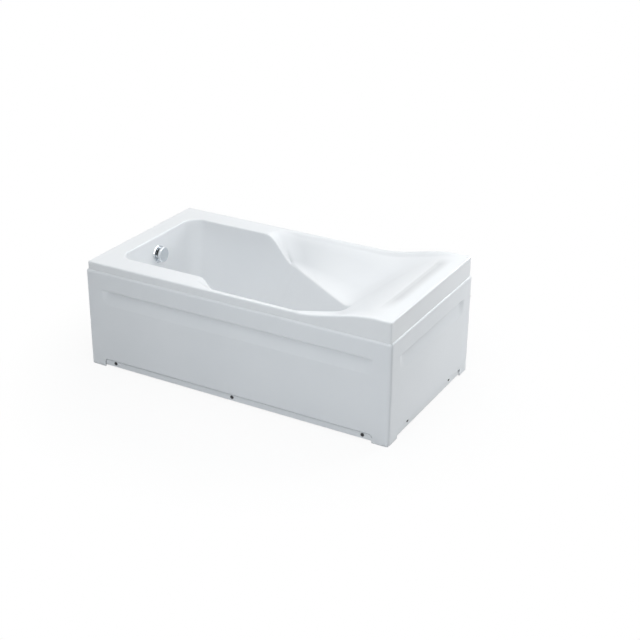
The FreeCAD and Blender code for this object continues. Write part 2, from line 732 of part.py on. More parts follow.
def polygon(sketch, sides, radius):
    """An even-sided outline about the sketch's origin."""
    outline(sketch, [(f"{radius} * cos({360 / sides * step})", f"{radius} * sin({360 / sides * step})")
                     for step in range(sides)])


def levelling_foot(label, x, y):
    """A threaded foot in one piece: pad, neck, spanner shank, lock nut and stud."""
    body = new_body(label)
    for sides, radius, bottom, top in (
            (8, "pad_radius", "0", "pad_brim"), (8, "pad_neck", "pad_brim", "pad_height"),
            (6, "shank_radius", "pad_height", "jam_bottom"), (6, "nut_radius", "jam_bottom", "jam_top")):
        step = new_sketch(body, "XY_Plane", bottom)
        polygon(step, sides, radius)
        pad(body, step, f"{top} - {bottom}")
    stud = new_sketch(body, "XY_Plane", "jam_top")
    circle(stud, "0", "0", "stud_radius")
    pad(body, stud, "stud_top - jam_top")
    place(body, x, y)
    return body


for station in STATIONS:
    spot = f"{station}_station"
    for side, hand in SIDES.items():
        name = f"{station}_{side}"
        arm = tube(f"outrigger_{name}", "XZ_Plane", "outrigger_reach", "tube_size")
        place(arm, spot, "outrigger_end" if hand > 0 else "-rail_outer", "rail_height + tube_size / 2")
        hole = new_sketch(arm, "XY_Plane", "-tube_size / 2")
        circle(hole, "0", "-foot_inset" if hand > 0 else "foot_inset - outrigger_reach", "stud_radius + seat_gap")
        cut = add_feature(arm, "Pocket", hole, Length="2 * tube_wall")
        cut.Reversed = True
        arms.append(arm)
        post = tube(f"post_{name}", "XY_Plane", f"{POST_TOPS[station]} - pad_thickness - rail_top", "post_size")
        place(post, spot, f"{hand} * post_y", "rail_top")
        cradle.append(post)
        pad_block = doc.addObject("Part::Box", f"post_pad_{name}")
        bind(pad_block, Length="pad_size", Width="pad_size", Height="pad_thickness")
        place(pad_block, f"{spot} - pad_size / 2", f"{hand} * post_y - pad_size / 2",
              f"{POST_TOPS[station]} - pad_thickness")
        pads.append(pad_block)
        weld_nut = nut(f"weld_nut_{name}", "nut_bottom")
        place(weld_nut, spot, f"{hand} * foot_y")
        nuts.append(weld_nut)
        feet.append(levelling_foot(f"levelling_foot_{name}", spot, f"{hand} * foot_y"))
outriggers = group("outriggers", arms)
post_pads = group("post_pads", pads)
weld_nuts = group("weld_nuts", nuts)

base_board = new_body("base_board")
board = new_sketch(base_board, "XY_Plane", "rail_top")
board_side = "(rail_half_gap + board_overlap)"
rectangle(board, "board_start", "board_end", f"-{board_side}", board_side)
circle(board, "drain_x", "0", "board_hole")
pad(base_board, board, "board_thickness")

# The waste: flange, gasket, plug and body, about the drain's axis
drain_flange = turned("drain_flange", [
    ("drain_bore", "floor_height - drain_tube_length"), ("drain_tube", "floor_height - drain_tube_length"),
    ("drain_tube", "floor_height"), ("drain_flange_radius", "floor_height"),
    ("drain_flange_radius", "flange_top"), ("drain_bore", "flange_top")])
spoke = "spoke_width / 2"
spoke_end = "(drain_bore + drain_tube_wall / 2)"
for half_x, half_y in ((spoke_end, spoke), (spoke, spoke_end)):
    bar = new_sketch(drain_flange, "XY_Plane", "floor_height - drain_tube_length")
    rectangle(bar, f"-{half_x}", half_x, f"-{half_y}", half_y)
    pad(drain_flange, bar, "guide_height")
guide_hole = new_sketch(drain_flange, "XY_Plane")
circle(guide_hole, "0", "0", "plug_stem + stem_play")
cut_through(drain_flange, guide_hole)
drain_gasket = ring("drain_gasket", "drain_hole", "gasket_edge", "gasket_bottom", "floor_under")
drain_plug = turned("drain_plug", [
    ("0", "plug_bottom - plug_stem_length"), ("plug_stem", "plug_bottom - plug_stem_length"),
    ("plug_stem", "plug_bottom"), ("plug_radius", "plug_bottom"),
    ("plug_radius", "plug_bottom + plug_height - plug_crown"),
    ("plug_radius - plug_crown", "plug_bottom + plug_height"), ("0", "plug_bottom + plug_height")])
for item in (drain_flange, drain_gasket, drain_plug):
    place(item, "drain_x")


def join(label, items):
    item = doc.addObject("Part::MultiFuse", label)
    item.Shapes = items
    return item


def upright(label, radius, x, y, bottom, top):
    item = cylinder(label, radius, f"{top} - ({bottom})")
    place(item, x, y, bottom)
    return item


def lying(label, radius, turn, x, y, z, length):
    """A cylinder lying along a turned axis, from a place."""
    item = cylinder(label, radius, length)
    item.Placement.Rotation = turn
    place(item, x, y, z)
    return item


to_back = Rotation(Vector(1, 0, 0), -90)
to_foot = Rotation(Vector(0, 1, 0), -90)
waste_inner = "(waste_radius - waste_wall)"
waste_outside = join("waste_outside", [
    upright("waste_cup", "waste_radius", "drain_x", 0, "waste_bottom", "waste_top"),
    upright("waste_brim", "waste_flange", "drain_x", 0, "waste_top - waste_flange_height", "waste_top"),
    lying("waste_outlet", "outlet_radius", to_back, "drain_x", 0, "waste_axis", "waste_radius + outlet_length"),
    lying("outlet_collar", "outlet_radius + waste_wall", to_back, "drain_x", 0, "waste_axis",
          "waste_radius + outlet_shoulder"),
    lying("waste_socket", "socket_outer", to_foot, "drain_x", 0, "waste_axis", "waste_radius + socket_depth")])
waste_inside = join("waste_inside", [
    upright("waste_space", waste_inner, "drain_x", 0, "waste_bottom + waste_wall", "waste_top + 1"),
    lying("outlet_bore", "outlet_radius - waste_wall", to_back, "drain_x", 0, "waste_axis",
          "waste_radius + outlet_length + 1"),
    lying("socket_hole", "socket_bore", to_foot, "drain_x - waste_radius", 0, "waste_axis", "socket_depth + 1"),
    lying("socket_passage", "pipe_radius - pipe_wall", to_foot, "drain_x", 0, "waste_axis", "waste_radius + 1")])
waste_body = combine("Cut", "waste_body", waste_outside, waste_inside)


# The overflow: pieces about the foot wall's normal, with the rigid pipe down to the waste
def on_wall(item):
    item.Placement.Rotation = wall_turn()
    place(item, "wall_x", 0, "overflow_height")
    return item


def behind_wall(label, radius, deep, shallow):
    """A cylinder about the overflow's axis between two depths behind the wall's face."""
    item = cylinder(label, radius, f"{deep} - ({shallow})")
    item.Placement.Rotation = wall_turn()
    place(item, f"wall_x - ({deep}) * cos(foot_draft)", 0, f"overflow_height - ({deep}) * sin(foot_draft)")
    return item


overflow_trim = on_wall(turned("overflow_trim", [
    ("trim_bore", "0"), ("trim_radius", "0"), ("trim_radius - trim_height / 2", "trim_height"),
    ("trim_bore", "trim_height")]))
overflow_gasket = on_wall(ring("overflow_gasket", "overflow_hole", "gasket_edge", "-cup_front", "-shell_wall"))
gaskets = group("gaskets", [drain_gasket, overflow_gasket])
pipe_elbow = doc.addObject("Part::Sphere", "pipe_elbow")
bind(pipe_elbow, Radius="socket_outer")
place(pipe_elbow, "spigot_x", 0, "waste_axis")
overflow_outside = join("overflow_outside", [
    behind_wall("overflow_cup", "cup_radius", "cup_back", "cup_front"),
    behind_wall("overflow_brim", "gasket_edge", "cup_front + cup_flange", "cup_front"),
    upright("overflow_spigot", "socket_outer", "spigot_x", 0, "spigot_end", "overflow_height"),
    upright("pipe_upright", "pipe_radius", "spigot_x", 0, "waste_axis", "overflow_height"),
    pipe_elbow,
    lying("pipe_level", "pipe_radius", to_head, "spigot_x", 0, "waste_axis", "drain_x - waste_radius - spigot_x")])
overflow_space = join("overflow_space", [
    behind_wall("overflow_hollow", "cup_radius - cup_wall", "cup_back - cup_wall", "0"),
    upright("spigot_passage", "pipe_radius - pipe_wall", "spigot_x", 0, "spigot_end", "overflow_height")])
overflow_cup = combine("Cut", "overflow_walls", overflow_outside, overflow_space)
boss_root = "(cup_back - cup_wall)"
spindle_boss = combine("Cut", "spindle_boss",
                       behind_wall("boss_outside", "boss_radius", boss_root, f"{boss_root} - boss_length"),
                       behind_wall("boss_hole", "spindle_radius + spindle_play", boss_root, "0"))
overflow_body = join("overflow_body", [overflow_cup, spindle_boss])

knob_back = "(knob_reach - knob_face)"
overflow_knob = turned("overflow_knob", [
    ("0", knob_back), ("knob_radius - knob_wall", knob_back),
    ("knob_radius - knob_wall", f"{knob_back} - window_margin"), ("knob_radius", f"{knob_back} - window_margin"),
    ("knob_radius", "knob_reach - knob_wall"), ("knob_radius - knob_wall", "knob_reach"), ("0", "knob_reach")])
posts = new_sketch(overflow_knob, "XY_Plane", "trim_height + knob_gap")
post_in, post_out, post_half = "(knob_radius - 1.5 * knob_wall)", "(knob_radius - knob_wall / 3)", "knob_post / 2"
rectangle(posts, post_in, post_out, f"-{post_half}", post_half)
rectangle(posts, f"-{post_out}", f"-{post_in}", f"-{post_half}", post_half)
rectangle(posts, f"-{post_half}", post_half, post_in, post_out)
rectangle(posts, f"-{post_half}", post_half, f"-{post_out}", f"-{post_in}")
pad(overflow_knob, posts, f"{knob_back} - trim_height - knob_gap")
on_wall(overflow_knob)
knob_spindle = behind_wall("knob_spindle", "spindle_radius", f"{boss_root} - seat_gap", f"-{knob_back}")


NODES = [tub_shell(), front_skirt, end_skirt, front_toe_rail, end_toe_rail, *cradle, outriggers, post_pads,
         weld_nuts, base_board, *feet, drain_flange, drain_plug, gaskets, waste_body, overflow_trim,
         overflow_body, overflow_knob, knob_spindle]

# Every object is sound before anything is written
doc.recompute()
for item in doc.Objects:
    if "Invalid" in item.State or "Error" in item.State:
        raise RuntimeError(f"{item.Label} did not compute")
os.makedirs("parts", exist_ok=True)
for node in NODES:
    if node.Shape.isNull() or not node.Shape.isValid():
        raise RuntimeError(f"{node.Label} has no sound shape")
for node in NODES:
    node.Shape.exportStep(f"parts/{node.Label}.step")
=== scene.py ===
"""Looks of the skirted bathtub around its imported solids.

Frame: metres, origin on the floor under the middle, +X to the head end, -Y to the front skirt, +Z up.
Sizes of the mouldings are written in millimetres and turned to metres when a mesh is made.
"""
import json
import math
import bpy
import numpy as np
from mathutils import Matrix, Vector


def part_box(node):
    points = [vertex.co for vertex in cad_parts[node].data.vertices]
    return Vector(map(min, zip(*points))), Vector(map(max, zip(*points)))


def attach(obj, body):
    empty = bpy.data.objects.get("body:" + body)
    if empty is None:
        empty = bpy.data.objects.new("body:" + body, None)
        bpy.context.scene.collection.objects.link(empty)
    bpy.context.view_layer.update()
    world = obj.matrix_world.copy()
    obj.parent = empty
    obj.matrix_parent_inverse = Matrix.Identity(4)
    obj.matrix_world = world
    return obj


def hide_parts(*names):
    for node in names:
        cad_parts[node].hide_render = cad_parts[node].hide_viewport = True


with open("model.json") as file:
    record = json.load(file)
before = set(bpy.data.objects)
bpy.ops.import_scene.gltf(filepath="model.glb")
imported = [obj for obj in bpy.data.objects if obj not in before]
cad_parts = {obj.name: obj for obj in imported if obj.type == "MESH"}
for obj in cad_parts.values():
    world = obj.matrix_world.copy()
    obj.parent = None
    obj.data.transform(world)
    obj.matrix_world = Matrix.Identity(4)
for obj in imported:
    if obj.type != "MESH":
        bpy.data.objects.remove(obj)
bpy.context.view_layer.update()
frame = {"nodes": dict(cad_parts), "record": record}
nodes = frame["nodes"]
MM = 0.001


# Mesh helpers
def rounded(spot):
    """A spot to a thousandth, so that equal places compare equal."""
    return tuple(round(float(value), 3) for value in spot)


class Skin:
    """Vertices and faces in millimetres; equal places become one vertex and flattened faces are dropped."""

    def __init__(self):
        self.places = {}
        self.faces = []
        self.marks = []

    def vertex(self, spot):
        return self.places.setdefault(rounded(spot), len(self.places))

    def face(self, spots, mark=0):
        loop = []
        for spot in spots:
            index = self.vertex(spot)
            if index not in loop:
                loop.append(index)
        if len(loop) > 2:
            self.faces.append(loop)
            self.marks.append(mark)

    def rows(self, grid, closed=False, mark=0):
        """Faces between rows of spots; they face the side that sees the rows rise and run to the right."""
        count = len(grid[0])
        last = count if closed else count - 1
        for lower, upper in zip(grid, grid[1:]):
            for index in range(last):
                following = (index + 1) % count
                self.face([lower[index], lower[following], upper[following], upper[index]], mark)

    def build(self, name, materials, turn=None):
        mesh = bpy.data.meshes.new(name)
        spots = [tuple(value * MM for value in spot) for spot in self.places]
        mesh.from_pydata(spots, [], self.faces)
        mesh.polygons.foreach_set("material_index", self.marks)
        mesh.polygons.foreach_set("use_smooth", [True] * len(self.faces))
        mesh.set_sharp_from_angle(angle=math.radians(40))
        for finish in materials:
            mesh.materials.append(finish)
        if turn is not None:
            mesh.transform(turn)
        item = bpy.data.objects.new(name, mesh)
        bpy.context.scene.collection.objects.link(item)
        return item


def thicken(item, wall):
    """A wall behind the skin, with the second finish on its back."""
    layer = item.modifiers.new("wall", "SOLIDIFY")
    layer.thickness = wall * MM
    layer.offset = -1
    layer.material_offset = 1


# Finishes
def new_finish(name):
    finish = bpy.data.materials.new(name)
    finish.use_nodes = True
    tree = finish.node_tree
    shader = tree.nodes["Principled BSDF"]
    place = tree.nodes.new("ShaderNodeTexCoord").outputs["Object"]
    return finish, tree, shader, place


def noise(tree, place, scale, detail=3.0, rough=0.5, stretch=(1, 1, 1)):
    """Noise over the object's own coordinates, stretched along an axis where asked."""
    mapping = tree.nodes.new("ShaderNodeMapping")
    mapping.inputs["Scale"].default_value = stretch
    tree.links.new(place, mapping.inputs["Vector"])
    node = tree.nodes.new("ShaderNodeTexNoise")
    node.inputs["Scale"].default_value = scale
    node.inputs["Detail"].default_value = detail
    node.inputs["Roughness"].default_value = rough
    tree.links.new(mapping.outputs["Vector"], node.inputs["Vector"])
    return node.outputs["Fac"]


def cells(tree, place, scale):
    node = tree.nodes.new("ShaderNodeTexVoronoi")
    node.inputs["Scale"].default_value = scale
    tree.links.new(place, node.inputs["Vector"])
    return node.outputs["Color"]


def spread(tree, value, low, high, start=0.3, end=0.7):
    """Maps a noise to a range of numbers."""
    node = tree.nodes.new("ShaderNodeMapRange")
    node.inputs["From Min"].default_value = start
    node.inputs["From Max"].default_value = end
    node.inputs["To Min"].default_value = low
    node.inputs["To Max"].default_value = high
    tree.links.new(value, node.inputs["Value"])
    return node.outputs["Result"]


def shades(tree, value, stops):
    """Maps a noise to colours at given places."""
    node = tree.nodes.new("ShaderNodeValToRGB")
    ramp = node.color_ramp
    while len(ramp.elements) < len(stops):
        ramp.elements.new(0.5)
    for element, (spot, colour) in zip(ramp.elements, stops):
        element.position = spot
        element.color = (*colour, 1)
    tree.links.new(value, node.inputs["Fac"])
    return node.outputs["Color"]


def bump(tree, shader, value, strength, depth):
    node = tree.nodes.new("ShaderNodeBump")
    node.inputs["Strength"].default_value = strength
    node.inputs["Distance"].default_value = depth
    tree.links.new(value, node.inputs["Height"])
    tree.links.new(node.outputs["Normal"], shader.inputs["Normal"])


def tint(tree, shader, value, *stops):
    """Colours the shader by a noise."""
    tree.links.new(shades(tree, value, stops), shader.inputs["Base Color"])


def roughen(tree, shader, value, low, high):
    """Lets the gloss follow a noise."""
    tree.links.new(spread(tree, value, low, high), shader.inputs["Roughness"])


def patch(tree, place, spans):
    """One inside a soft box over the object's X and Y, nothing outside."""
    axes = tree.nodes.new("ShaderNodeSeparateXYZ")
    tree.links.new(place, axes.inputs["Vector"])
    inside = None
    for axis, (start, full, hold, end) in zip("XY", spans):
        for low, high, limits in ((0, 1, (start, full)), (1, 0, (hold, end))):
            side = spread(tree, axes.outputs[axis], low, high, *limits)
            if inside is None:
                inside = side
                continue
            both = tree.nodes.new("ShaderNodeMath")
            both.operation = "MULTIPLY"
            tree.links.new(inside, both.inputs[0])
            tree.links.new(side, both.inputs[1])
            inside = both.outputs["Value"]
    return inside


def acrylic(name, dark, light, painted_shade_box=None):
    """Glossy sheet acrylic: a faint cast in the white, the waver of a drawn sheet, and painted shade in a
    patch if asked.
    """
    finish, tree, shader, place = new_finish(name)
    colour = shades(tree, noise(tree, place, 2.4), [(0.3, dark), (0.7, light)])
    # painted shade: inside the patch the base colour is scaled down so that the trough looks shaded
    if painted_shade_box:
        painted_shade_factor = spread(tree, patch(tree, place, painted_shade_box), 1, TROUGH_PAINTED_SHADE_LEVEL, 0, 1)
        painted_shade_node = tree.nodes.new("ShaderNodeVectorMath")
        painted_shade_node.operation = "SCALE"
        tree.links.new(colour, painted_shade_node.inputs["Vector"])
        tree.links.new(painted_shade_factor, painted_shade_node.inputs["Scale"])
        colour = painted_shade_node.outputs["Vector"]
    tree.links.new(colour, shader.inputs["Base Color"])
    shader.inputs["Roughness"].default_value = 0.3
    shader.inputs["IOR"].default_value = 1.49
    shader.inputs["Coat Weight"].default_value = 0.1
    shader.inputs["Coat Roughness"].default_value = 0.12
    bump(tree, shader, noise(tree, place, 38, 2), 0.05, 0.0006)
    return finish


def glass_fibre(name):
    """Chopped-strand laminate on the back of the acrylic."""
    finish, tree, shader, place = new_finish(name)
    strands = noise(tree, place, 70, 6, 0.7, (1, 3, 1))
    tint(tree, shader, strands, (0.3, (0.52, 0.5, 0.43)), (0.5, (0.66, 0.65, 0.58)),
         (0.75, (0.75, 0.74, 0.69)))
    roughen(tree, shader, strands, 0.35, 0.7)
    bump(tree, shader, strands, 0.6, 0.0015)
    return finish


def painted_steel(name):
    """Grey paint with a fine orange-peel surface."""
    finish, tree, shader, place = new_finish(name)
    tint(tree, shader, noise(tree, place, 14, 5), (0.35, (0.27, 0.29, 0.31)), (0.65, (0.34, 0.36, 0.38)))
    roughen(tree, shader, noise(tree, place, 60), 0.38, 0.55)
    bump(tree, shader, noise(tree, place, 900, 2), 0.12, 0.0003)
    return finish


def particle_board(name):
    """Pressed wood flakes."""
    finish, tree, shader, place = new_finish(name)
    flakes = cells(tree, place, 260)
    tint(tree, shader, flakes, (0.1, (0.28, 0.18, 0.09)), (0.5, (0.46, 0.33, 0.19)),
         (0.9, (0.6, 0.47, 0.3)))
    shader.inputs["Roughness"].default_value = 0.8
    bump(tree, shader, flakes, 0.4, 0.0008)
    return finish


def dark_plastic(name):
    """Black plastic with a grained surface."""
    finish, tree, shader, place = new_finish(name)
    tint(tree, shader, noise(tree, place, 30), (0.3, (0.012, 0.012, 0.014)), (0.7, (0.028, 0.028, 0.031)))
    roughen(tree, shader, noise(tree, place, 120), 0.42, 0.6)
    bump(tree, shader, noise(tree, place, 1400, 2), 0.25, 0.0003)
    return finish


def zinc(name):
    """Zinc plating with a fine spangle."""
    finish, tree, shader, place = new_finish(name)
    spangle = noise(tree, place, 220, 4)
    tint(tree, shader, spangle, (0.3, (0.42, 0.42, 0.43)), (0.7, (0.62, 0.62, 0.63)))
    shader.inputs["Metallic"].default_value = 1
    roughen(tree, shader, spangle, 0.25, 0.45)
    bump(tree, shader, spangle, 0.08, 0.0003)
    return finish


def chrome(name):
    """Polished plating with a faint haze."""
    finish, tree, shader, place = new_finish(name)
    tint(tree, shader, noise(tree, place, 40), (0.3, (0.7, 0.73, 0.76)), (0.7, (0.78, 0.8, 0.82)))
    shader.inputs["Metallic"].default_value = 1
    roughen(tree, shader, noise(tree, place, 90, 4), 0.1, 0.2)
    bump(tree, shader, noise(tree, place, 500, 2), 0.02, 0.0002)
    return finish


def rubber(name):
    """Matt black rubber."""
    finish, tree, shader, place = new_finish(name)
    tint(tree, shader, noise(tree, place, 50), (0.3, (0.014, 0.014, 0.014)), (0.7, (0.03, 0.03, 0.03)))
    shader.inputs["Roughness"].default_value = 0.75
    bump(tree, shader, noise(tree, place, 700, 3), 0.2, 0.0004)
    return finish


def pipe_plastic(name):
    """Pale grey moulded pipe."""
    finish, tree, shader, place = new_finish(name)
    tint(tree, shader, noise(tree, place, 12), (0.3, (0.55, 0.55, 0.53)), (0.7, (0.62, 0.62, 0.6)))
    roughen(tree, shader, noise(tree, place, 60), 0.32, 0.45)
    bump(tree, shader, noise(tree, place, 300, 2), 0.06, 0.0004)
    return finish


# Colours and finishes by the record's slots; a patch of painted shade darkens the trough, given in metres
# over X and Y
TROUGH_PAINTED_SHADE_LEVEL = 0.79
TROUGH_PAINTED_SHADE_BOX = ((0.624, 0.636, 0.655, 0.696), (-0.29, -0.16, 0.26, 0.315))
FINISHES = {
    "acrylic": acrylic("shell_acrylic", (0.8, 0.815, 0.83), (0.83, 0.842, 0.852), TROUGH_PAINTED_SHADE_BOX),
    "skirt": acrylic("skirt_acrylic", (0.77, 0.79, 0.81), (0.8, 0.818, 0.835)),
    "cradle": painted_steel("cradle_paint"),
    "board": particle_board("base_particle_board"),
    "foot": dark_plastic("foot_plastic"),
    "zinc": zinc("zinc_plate"),
    "chrome": chrome("chrome_plate"),
    "seal": rubber("seal_rubber"),
    "pipe": pipe_plastic("pipe_moulding"),
}
LAMINATE = glass_fibre("laminate_back")
for part in frame["record"]["subparts"]:
    slots = nodes[part["node"]].data.materials
    slots.clear()
    slots.append(FINISHES[part["material_slot"]])


# The shell's form, the same as the solid's but with flowing blends between its faces
RIM_X, RIM_Y, HEAD_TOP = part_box("tub_shell")[1] / MM
RIM_TOP, RISE_START, RISE_RUN = 500, 318, 358
LIP_BOTTOM, RIM_CORNER, RIM_ROUND, RIM_BLEND, SHELL_WALL = 430, 10, 9, 30, 6
FLOOR, FOOT_DECK, SIDE_DECK = 118, 92, 111
FOOT_LEAN, SIDE_LEAN, NOSE_LEAN = (math.tan(math.radians(angle)) for angle in (4, 7, 32))
NOSE_TIP, NOSE_ANGLE = 385, math.radians(30)
FOOT_RADIUS, SHOULDER_RADIUS, NOSE_RADIUS, NOSE_TOP_RADIUS = 70, 160, 60, 10
FLOOR_BEND, MOUTH_BEND = 40, 9
ARM_TOP, ARM_FALL, STEP_START, STEP_END = 378, 16, -208, -112
ARM_HALF, ARM_LEAST, ROLL_HALF = 290, 122, 362
BACK_START, BACK_END = 334, 600
BACK_BLEND, STEP_BLEND, ARM_BLEND = 44, 140, 24
ALONG_LIMITS, UP_LIMITS, DISH_ROUNDS = (-0.06, 1.6), (-0.4, 1.6), 16
NEAR_SHOULDER, FAR_SHOULDER, DISH_ROLL, HEAD_ROLL = 8, 46, 38, 24
DISH_ROLL_START, DISH_ROLL_RUN, HEAD_ROLL_START, HEAD_ROLL_RUN = STEP_START + 20, 110, 100, 400
TROUGH_START, TROUGH_SLOPE, TROUGH_LIP, TROUGH_END = 627, 20, 674, 692
TROUGH_DEPTH, TROUGH_LIP_DEPTH, TROUGH_BED_BLEND, TROUGH_LIP_BLEND, TROUGH_EDGE_BLEND = 8, 5, 6, 4, 3
TROUGH_NEAR, TROUGH_FAR, TROUGH_NEAR_FADE, TROUGH_FAR_FADE = -270, 318, 130, 70
DRAIN_X, DRAIN_RADIUS = -500, 25
OVERFLOW_Z, OVERFLOW_RADIUS, OVERFLOW_SNAP, OVERFLOW_REACH = 414, 30, 5, 12


def ease(share):
    share = np.clip(share, 0, 1)
    return share * share * (3 - 2 * share)


def smooth_max(first, second, blend):
    near = np.maximum(blend - np.abs(first - second), 0) / blend
    return np.maximum(first, second) + near * near * blend / 4


def smooth_min(first, second, blend):
    return -smooth_max(-first, -second, blend)


def rim_height(x):
    return RIM_TOP + (HEAD_TOP - RIM_TOP) * ease((x - RISE_START) / RISE_RUN)


def arm_height(x):
    """The armrest, which falls a little towards the backrest."""
    return ARM_TOP - ARM_FALL * ease((x - STEP_END) / (BACK_START - STEP_END))


def dish_side(x, y):
    """The twisted side: straight lines from the armrest's edge to the rim, followed to the place asked."""
    up = np.full_like(x, 0.5)
    for _ in range(DISH_ROUNDS):
        along = (x - STEP_END - (STEP_START - STEP_END) * up) / (
            BACK_START - STEP_END + (BACK_END - STEP_START - BACK_START + STEP_END) * up)
        along = np.clip(along, *ALONG_LIMITS)
        foot_y = ARM_HALF + (ARM_LEAST - ARM_HALF) * along
        up = np.clip((np.abs(y) - foot_y) / (ROLL_HALF - foot_y), *UP_LIMITS)
    foot_z = arm_height(STEP_END + (BACK_START - STEP_END) * along)
    top_x = STEP_START + (BACK_END - STEP_START) * along
    return foot_z + (rim_height(top_x) - foot_z) * up


def dish_height(x, y):
    """The dish: its twisted sides, the backrest, the step at the foot and the armrests, blended."""
    step = ARM_TOP + (RIM_TOP - ARM_TOP) * (STEP_END - x) / (STEP_END - STEP_START)
    back_foot, back_top = arm_height(np.float64(BACK_START)), rim_height(np.float64(BACK_END))
    back = back_foot + (back_top - back_foot) * (x - BACK_START) / (BACK_END - BACK_START)
    height = smooth_max(dish_side(x, y), back, BACK_BLEND)
    height = smooth_max(height, step, STEP_BLEND)
    return smooth_max(height, arm_height(x), ARM_BLEND)


def trough_drop(x, y):
    """A slope facing the head end, a bed that rises slowly and a short lip, fading out at both sides."""
    down = (x - TROUGH_START) * TROUGH_DEPTH / TROUGH_SLOPE
    bed_start = TROUGH_START + TROUGH_SLOPE
    bed = TROUGH_DEPTH - (TROUGH_DEPTH - TROUGH_LIP_DEPTH) * (x - bed_start) / (TROUGH_LIP - bed_start)
    up = (TROUGH_END - x) * TROUGH_LIP_DEPTH / (TROUGH_END - TROUGH_LIP)
    drop = smooth_min(smooth_min(down, bed, TROUGH_BED_BLEND), up, TROUGH_LIP_BLEND)
    drop = smooth_max(drop, 0, TROUGH_EDGE_BLEND)
    return drop * ease((y - TROUGH_NEAR) / TROUGH_NEAR_FADE) * ease((TROUGH_FAR - y) / TROUGH_FAR_FADE)


def deck_height(x, y):
    """The rim and what dips below it; the roll between them widens past the step and towards the head end."""
    roll = np.where(y > 0, FAR_SHOULDER, NEAR_SHOULDER)
    roll = roll + (DISH_ROLL - roll) * ease((x - DISH_ROLL_START) / DISH_ROLL_RUN)
    roll = roll + HEAD_ROLL * ease((x - HEAD_ROLL_START) / HEAD_ROLL_RUN)
    rim = rim_height(x)
    drop = rim - smooth_min(rim, dish_height(x, y), roll)
    return rim - drop * ease((RIM_Y - RIM_ROUND - np.abs(y)) / RIM_BLEND) - trough_drop(x, y)


# Columns round the shell: the same steps on the well's outline, the rim and the drain
FOOT_STEPS, SIDE_STEPS, HEAD_STEPS, NOSE_STEPS = 48, 38, 52, 60
FOOT_ARC, SHOULDER_ARC, CORNER_STEPS = 10, 14, 8
FLOOR_ROWS, FLOOR_BEND_ROWS, WALL_ROWS, MOUTH_ROWS, DECK_ROWS, RIM_ROWS, FLANGE_ROWS = 16, 9, 36, 8, 84, 5, 5
RIM_SHOULDER = (-150, -10)
MOUTH_LOW, MOUTH_HIGH, MOUTH_ROUNDS = FLOOR + 60, HEAD_TOP + 30, 40


def well_columns(z):
    """Plan of the well at a height, as spots round it from the front foot corner."""
    foot = FOOT_DECK - RIM_X + (RIM_TOP - z) * FOOT_LEAN
    side = RIM_Y - SIDE_DECK - (RIM_TOP - z) * SIDE_LEAN
    tip = NOSE_TIP - (ARM_TOP - z) * NOSE_LEAN
    shoulder = tip - side / math.tan(NOSE_ANGLE)
    corners = np.array([(foot, -side), (shoulder, -side), (tip, 0), (shoulder, side), (foot, side)])
    nose = NOSE_RADIUS + (NOSE_TOP_RADIUS - NOSE_RADIUS) * (z - FLOOR) / (RIM_TOP - FLOOR)
    radii = [FOOT_RADIUS, SHOULDER_RADIUS, nose, SHOULDER_RADIUS, FOOT_RADIUS]
    arcs = [FOOT_ARC, SHOULDER_ARC, NOSE_STEPS + 2 * CORNER_STEPS, SHOULDER_ARC, FOOT_ARC]
    runs = [SIDE_STEPS, HEAD_STEPS, HEAD_STEPS, SIDE_STEPS, FOOT_STEPS]
    ends = []
    for index, (corner, radius) in enumerate(zip(corners, radii)):
        back = corners[index - 1] - corner
        ahead = corners[(index + 1) % len(corners)] - corner
        back, ahead = back / np.hypot(*back), ahead / np.hypot(*ahead)
        half = math.acos(np.clip(back @ ahead, -1, 1)) / 2
        middle = corner + (back + ahead) / np.hypot(*(back + ahead)) * radius / math.sin(half)
        length = radius / math.tan(half)
        ends.append((corner + back * length, middle, corner + ahead * length))
    spots = []
    for index, (start, middle, end) in enumerate(ends):
        first = math.atan2(*(start - middle)[::-1])
        turn = (math.atan2(*(end - middle)[::-1]) - first) % (2 * math.pi)
        for step in range(arcs[index]):
            angle = first + turn * step / arcs[index]
            spots.append(middle + radii[index] * np.array([math.cos(angle), math.sin(angle)]))
        following = ends[(index + 1) % len(ends)][0]
        for step in range(runs[index]):
            spots.append(end + (following - end) * step / runs[index])
    return np.array(spots)


def rim_columns(inset):
    """Plan of the rim, inset, with a spot for each of the well's."""
    half_x, half_y, radius = RIM_X - inset, RIM_Y - inset, RIM_CORNER - inset
    spots = []

    def arc(hand_x, hand_y, start, steps):
        middle = np.array([hand_x * (half_x - radius), hand_y * (half_y - radius)])
        for step in range(steps):
            angle = math.radians(start + 90 * step / steps)
            spots.append(middle + radius * np.array([math.cos(angle), math.sin(angle)]))

    def run(start, end, steps):
        for step in range(steps):
            spots.append(np.array(start) + (np.array(end) - np.array(start)) * step / steps)

    low_x, high_x, straight_y = radius - half_x, half_x - radius, half_y - radius
    first, second = RIM_SHOULDER
    arc(-1, -1, 180, FOOT_ARC)
    run((low_x, -half_y), (first, -half_y), SIDE_STEPS)
    run((first, -half_y), (second, -half_y), SHOULDER_ARC)
    run((second, -half_y), (high_x, -half_y), HEAD_STEPS)
    arc(1, -1, 270, CORNER_STEPS)
    run((half_x, -straight_y), (half_x, straight_y), NOSE_STEPS)
    arc(1, 1, 0, CORNER_STEPS)
    run((high_x, half_y), (second, half_y), HEAD_STEPS)
    run((second, half_y), (first, half_y), SHOULDER_ARC)
    run((first, half_y), (low_x, half_y), SIDE_STEPS)
    arc(-1, 1, 90, FOOT_ARC)
    run((-half_x, straight_y), (-half_x, -straight_y), FOOT_STEPS)
    return np.array(spots)


def bend(start, corner, end, steps):
    """Rows of a soft turn from one row of spots to another about a sharp corner."""
    rows = []
    for step in range(steps + 1):
        share = step / steps
        rows.append((1 - share) ** 2 * start + 2 * share * (1 - share) * corner + share ** 2 * end)
    return rows


